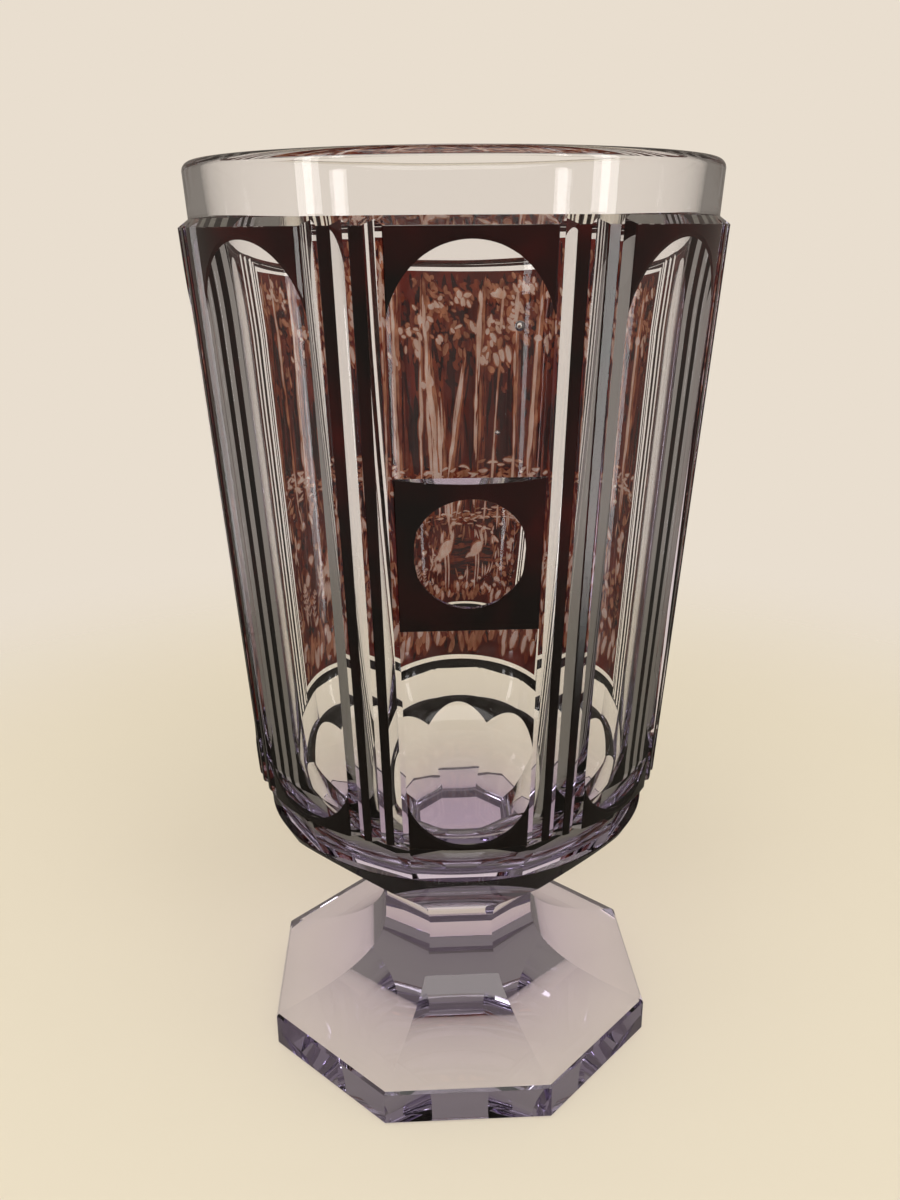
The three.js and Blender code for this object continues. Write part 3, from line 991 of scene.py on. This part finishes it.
def broad_leaves():
    """Broad pale leaves along the lower edge."""
    for _ in range(LEAVES):
        u = across_picture()
        z = draw.uniform(*LEAF_Z)
        tone = draw.choice(["light", "tan", "tan", "brown", "dark"])
        dab(tone, u, z, draw.uniform(3, 5.5), 70, 25)


def compose_picture():
    """All the strokes, from the back of the scene to its front."""
    deep_wood()
    for tree in TREES + FORKED_TREE:
        trunk(*tree)
    boughs()
    glade()
    pond()
    heron(-10, 73, 2.8, 1)
    heron(11, 76, 2.3, 1)
    hare(-17, 79, 1.9, 1)
    hare(23, 93, 1.6, -1)
    meadow()
    ferns()
    broad_leaves()


def stroke_mesh(name, made, depths):
    """All the strokes of one tone, each a thin closed solid that follows the wall."""
    verts = []
    faces = []
    for k, rows in enumerate(made):
        own = STROKE_SPREAD * (SPREAD_STRIDE * k % SPREAD_CYCLE) / SPREAD_CYCLE
        last = len(rows) - 1
        layers = []
        for depth in (depths[0] + own, depths[1] - own):
            layer = []
            for i, row in enumerate(rows):
                tip = i in (0, last)
                numbers = []
                for u, z in row[:1] if tip else row:
                    azimuth, z = on_picture(u, z)
                    numbers.append(len(verts))
                    verts.append(spot(azimuth, wall_r(z) - depth, z))
                layer.append(numbers * len(row) if tip else numbers)
            layers.append(layer)
        outer, inner = layers
        for i in range(last):
            for layer in layers:
                for j in range(len(rows[0]) - 1):
                    corners = (layer[i][j], layer[i + 1][j], layer[i + 1][j + 1], layer[i][j + 1])
                    faces.append(tuple(dict.fromkeys(corners)))
            for j in (0, -1):
                faces.append((outer[i][j], outer[i + 1][j], inner[i + 1][j], inner[i][j]))
    return mesh_of(name, verts, faces)


def plate(inward, low, depths):
    """A thin plate under the back wall, with a margin at its sides and top."""
    half = PICTURE_HALF - math.degrees(inward / PICTURE_R)
    top = PICTURE_TOP - inward
    count = int(2 * half / PLATE_STEP)
    verts = []
    for i in range(count + 1):
        azimuth = 180 - half + 2 * half * i / count
        for depth, z in ((depths[0], low), (depths[0], top), (depths[1], top), (depths[1], low)):
            verts.append(spot(azimuth, wall_r(z) - depth, z))
    faces = [(0, 1, 2, 3), tuple(4 * count + k for k in range(4))]
    for i in range(count):
        for k in range(4):
            j = (k + 1) % 4
            faces.append((4 * i + k, 4 * i + j, 4 * i + 4 + j, 4 * i + 4 + k))
    return mesh_of("plate", verts, faces)


def build_picture():
    """The stain, its engraving and the dark line at its sides and top."""
    compose_picture()
    stain = stained("stained_glass", *STAIN_LOOK)
    panel = plate(BORDER_WIDTH + BORDER_GAP, PICTURE_LOW, STAIN_DEPTH)
    shown("picture_stain", panel, stain, "stained_glass", "picture_panel")
    for tone, depths in TONES.items():
        mesh = stroke_mesh(f"engraving_{tone}", strokes[tone], depths)
        look = stained(f"engraving_{tone}", *STROKE_LOOKS[tone])
        shown(f"engraving_{tone}", mesh, look, "stained_glass", "picture_panel")
    # The field within the line is cut out, past the lower ends of its two sides
    inside = plate(BORDER_WIDTH, STRIP_TOP - 5, (-1, 1))
    border = carved(plate(0, STRIP_TOP, BORDER_DEPTH), [inside])
    dark = stained("border_glass", *BORDER_LOOK)
    shown("picture_border_line", border, dark, "ruby_glass", "picture_border")


# The stage: floor, world, lamps and camera, with the places and sizes of the lamps in metres
FLOOR_FADE = (0.16, 0.34)
FLOOR_GAP = 0.05
FLOOR_ROUND = 128
FLOOR_COLOR = (222, 216, 199)
FLOOR_ROUGHNESS = 0.7
FLOOR_IOR = 1.3
BACKDROP_COLOR = (233, 222, 207)
ROOM_LIGHT = 0.82
ROOM_MIRRORED = 0.28

# The part of the room overhead and underfoot that is dimmer through the glass, and how much
STEEP = (0.45, 0.95)
STEEP_DIM = 0.8

# Softboxes: place, size, power, and whether they are seen through the glass
SOFTBOXES = {
    "left_softbox": ((-0.8, -0.42, 0.0), (0.12, 1.1), 1.9, True),
    "right_softbox": ((0.85, -0.5, 0.0), (0.14, 1.1), 2.2, True),
    "top_softbox": ((0, -0.7, 1.4), (1.8, 1.4), 17, False),
}
LAMP_AIM = (0, 0, 0.1)
LAMP_COLOR = (1, 0.98, 0.95)

# The photograph's camera, fitted to the rim, the foot's corners and the straight wall.
# It stands at an azimuth in degrees, and its own angles are radians.
CAMERA_AZIMUTH = -3
CAMERA_REACH = 192.36
CAMERA_HEIGHT = 159.21
CAMERA_PITCH = 0.3387
CAMERA_ROLL = -0.0066
CAMERA_YAW = -0.0055
FOCAL_PIXELS = 1046.6
PHOTO_HEIGHT = 1200
SENSOR = 36

# Light has to pass through many faces of glass
BOUNCES = 24
GLOSSY_BOUNCES = 12
CLEAR_BOUNCES = 32


def background(tree, color, strength):
    node = tree.nodes.new("ShaderNodeBackground")
    node.inputs["Color"].default_value = (*color, 1)
    node.inputs["Strength"].default_value = strength
    return node.outputs["Background"]


def mirrored(tree):
    """1 for what is seen by way of a reflection, and 0 for what is seen straight or refracted."""
    rays = tree.nodes.new("ShaderNodeLightPath")
    over = tree.nodes.new("ShaderNodeMath")
    over.operation = "GREATER_THAN"
    over.inputs[1].default_value = 0.5
    tree.links.new(rays.outputs["Glossy Depth"], over.inputs[0])
    return over.outputs["Value"]


def build_floor():
    """A plain pale floor with an air gap under the foot, which fades out into the backdrop. In
    reflections it is a darker matte copy, a painted shade.
    """
    mesh = bpy.data.meshes.new("floor")
    bm = bmesh.new()
    bmesh.ops.create_circle(bm, cap_ends=True, segments=FLOOR_ROUND, radius=FLOOR_FADE[1])
    bm.to_mesh(mesh)
    bm.free()
    floor = bpy.data.objects.new("floor", mesh)
    floor.location.z = -FLOOR_GAP * MM
    bpy.context.scene.collection.objects.link(floor)
    material, tree, shader = new_material("floor")
    shader.inputs["Base Color"].default_value = (*srgb(*FLOOR_COLOR), 1)
    shader.inputs["Roughness"].default_value = FLOOR_ROUGHNESS
    shader.inputs["IOR"].default_value = FLOOR_IOR
    # Seen in a reflection, the floor is a matte copy at ROOM_MIRRORED of its colour: painted shade
    # in its reflections.
    dull = tree.nodes.new("ShaderNodeBsdfDiffuse")
    dull.inputs["Color"].default_value = (*[c * ROOM_MIRRORED for c in srgb(*FLOOR_COLOR)], 1)
    top = choice(tree, mirrored(tree), shader.outputs["BSDF"], dull.outputs["BSDF"])
    where = tree.nodes.new("ShaderNodeTexCoord")
    length = tree.nodes.new("ShaderNodeVectorMath")
    length.operation = "LENGTH"
    fade = tree.nodes.new("ShaderNodeMapRange")
    fade.interpolation_type = "SMOOTHSTEP"
    fade.inputs["From Min"].default_value = FLOOR_FADE[0]
    fade.inputs["From Max"].default_value = FLOOR_FADE[1]
    clear = tree.nodes.new("ShaderNodeBsdfTransparent")
    tree.links.new(where.outputs["Object"], length.inputs[0])
    tree.links.new(length.outputs["Value"], fade.inputs["Value"])
    surface = choice(tree, fade.outputs["Result"], top, clear.outputs["BSDF"])
    tree.links.new(surface, tree.nodes["Material Output"].inputs["Surface"])
    mesh.materials.append(material)


def build_world():
    """A cream room, as seen straight and through glass; dimmer as light and in reflections."""
    world = bpy.data.worlds.new("studio")
    bpy.context.scene.world = world
    world.use_nodes = True
    tree = world.node_tree
    tree.nodes.clear()
    cream = srgb(*BACKDROP_COLOR)
    seen = background(tree, cream, 1)
    dim = background(tree, cream, ROOM_LIGHT)
    where = tree.nodes.new("ShaderNodeTexCoord")
    split = tree.nodes.new("ShaderNodeSeparateXYZ")
    steep = tree.nodes.new("ShaderNodeMath")
    steep.operation = "ABSOLUTE"
    fall = tree.nodes.new("ShaderNodeMapRange")
    fall.interpolation_type = "SMOOTHSTEP"
    fall.inputs["From Min"].default_value = STEEP[0]
    fall.inputs["From Max"].default_value = STEEP[1]
    fall.inputs["To Max"].default_value = STEEP_DIM
    tree.links.new(where.outputs["Generated"], split.inputs["Vector"])
    tree.links.new(split.outputs["Z"], steep.inputs[0])
    tree.links.new(steep.outputs["Value"], fall.inputs["Value"])
    through = choice(tree, fall.outputs["Result"], seen, dim)
    rays = tree.nodes.new("ShaderNodeLightPath")
    lit = choice(tree, rays.outputs["Is Transmission Ray"], dim, through)
    in_gloss = background(tree, cream, ROOM_MIRRORED)
    lit = choice(tree, mirrored(tree), lit, in_gloss)
    sky = choice(tree, rays.outputs["Is Camera Ray"], lit, seen)
    out = tree.nodes.new("ShaderNodeOutputWorld")
    tree.links.new(sky, out.inputs["Surface"])


def build_lamps():
    """Softboxes at the left, at the right and above, which the camera doesn't see."""
    for name, (place, size, power, through) in SOFTBOXES.items():
        data = bpy.data.lights.new(name, "AREA")
        data.shape = "RECTANGLE"
        data.size, data.size_y = size
        data.energy = power
        data.color = LAMP_COLOR
        light = bpy.data.objects.new(name, data)
        light.location = place
        light.rotation_mode = "QUATERNION"
        aim = Vector(LAMP_AIM) - Vector(place)
        light.rotation_quaternion = aim.to_track_quat("-Z", "Y")
        light.visible_camera = False
        light.visible_transmission = through
        bpy.context.scene.collection.objects.link(light)


def build_camera():
    """A camera that stands and looks as the photograph's did."""
    turn = math.radians(CAMERA_AZIMUTH)
    away = CAMERA_YAW - turn
    level_share = math.cos(CAMERA_PITCH)
    forward = Vector((math.sin(away) * level_share, math.cos(away) * level_share,
                      -math.sin(CAMERA_PITCH)))
    level = Vector((math.cos(away), -math.sin(away), 0))
    above = level.cross(forward)
    right = level * math.cos(CAMERA_ROLL) + above * math.sin(CAMERA_ROLL)
    up = above * math.cos(CAMERA_ROLL) - level * math.sin(CAMERA_ROLL)
    data = bpy.data.cameras.new("camera")
    data.sensor_width = SENSOR
    data.lens = SENSOR * FOCAL_PIXELS / PHOTO_HEIGHT
    data.clip_start = 0.01
    camera = bpy.data.objects.new("camera", data)
    matrix = Matrix((right, up, -forward)).transposed().to_4x4()
    matrix.translation = Vector(spot(CAMERA_AZIMUTH, CAMERA_REACH, CAMERA_HEIGHT)) * MM
    camera.matrix_world = matrix
    bpy.context.scene.collection.objects.link(camera)
    bpy.context.scene.camera = camera


build_clear()
build_overlay()
build_picture()
build_floor()
build_world()
build_lamps()
build_camera()

scene = bpy.context.scene
scene.view_settings.view_transform = "Standard"
scene.cycles.max_bounces = BOUNCES
scene.cycles.transmission_bounces = BOUNCES
scene.cycles.glossy_bounces = GLOSSY_BOUNCES
scene.cycles.transparent_max_bounces = CLEAR_BOUNCES
